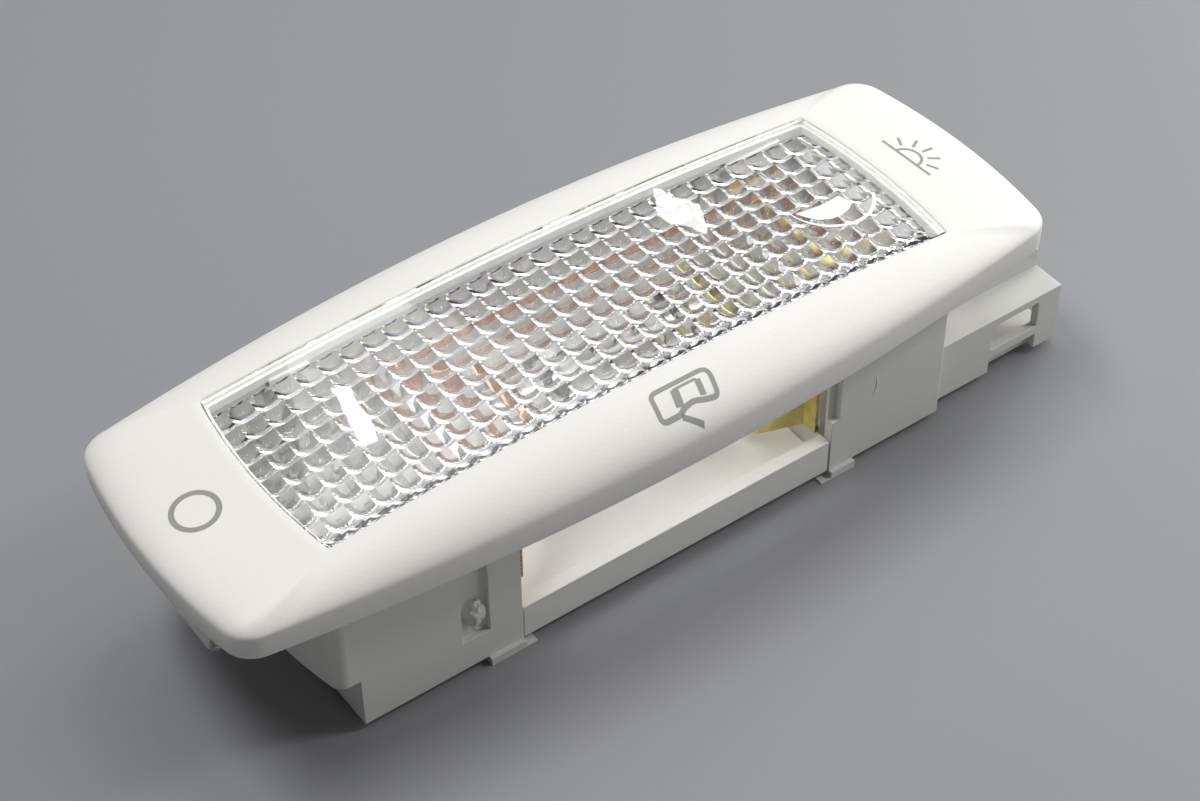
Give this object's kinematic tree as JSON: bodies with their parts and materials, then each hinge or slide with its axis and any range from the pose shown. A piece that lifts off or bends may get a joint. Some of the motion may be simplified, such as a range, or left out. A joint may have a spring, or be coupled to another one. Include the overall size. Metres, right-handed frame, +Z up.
{
  "type": "car interior reading light",
  "caption": "Roof reading light with a bowed rocking cover and prismatic lens over a moulded housing with a leaf clip and a plug socket.",
  "frame": {"origin": "centre of the whole outline in plan, on the plane of the feet's undersides", "axes": "+X along the lamp to the connector end, +Y across it away from the side window, +Z up through the lens"},
  "size_m": [0.1372, 0.05, 0.0344],
  "materials": {
    "cover_plastic": "satin fine-grained moulding",
    "lens_plastic": "clear, gloss",
    "housing_plastic": "smooth satin moulding",
    "tray_plastic": "smooth satin moulding",
    "clip_steel": "bright rolled sheet",
    "copper": "copper strip",
    "brass": "bright strip",
    "bulb_glass": "clear",
    "bulb_metal": "bright cap",
    "filament": "tungsten wire",
    "spring_steel": "spring strip"
  },
  "bodies": {
    "lamp_body": {"housing": "housing_plastic", "floor_tray": "tray_plastic", "spring_clip": "clip_steel", "contact_left": "copper", "contact_right": "brass", "supply_strip": "brass", "ground_strip": "brass", "door_strip": "copper", "bulb_glass": "bulb_glass", "bulb_filament": "filament", "bulb_lead_left": "bulb_metal", "bulb_lead_right": "bulb_metal", "bulb_cap_left": "bulb_metal", "bulb_cap_right": "bulb_metal", "detent_spring": "spring_steel"},
    "rocker": {"cover": "cover_plastic", "lens": "lens_plastic", "wiper": "brass", "wiper_rivet": "bulb_metal"}
  },
  "joints": [
    {"name": "cover_rock", "type": "hinge", "parent": "lamp_body", "child": "rocker", "pos_m": [-0.00315, 0, 0.0232], "axis": [0, 1, 0], "range_deg": [-4, 4]}
  ]
}
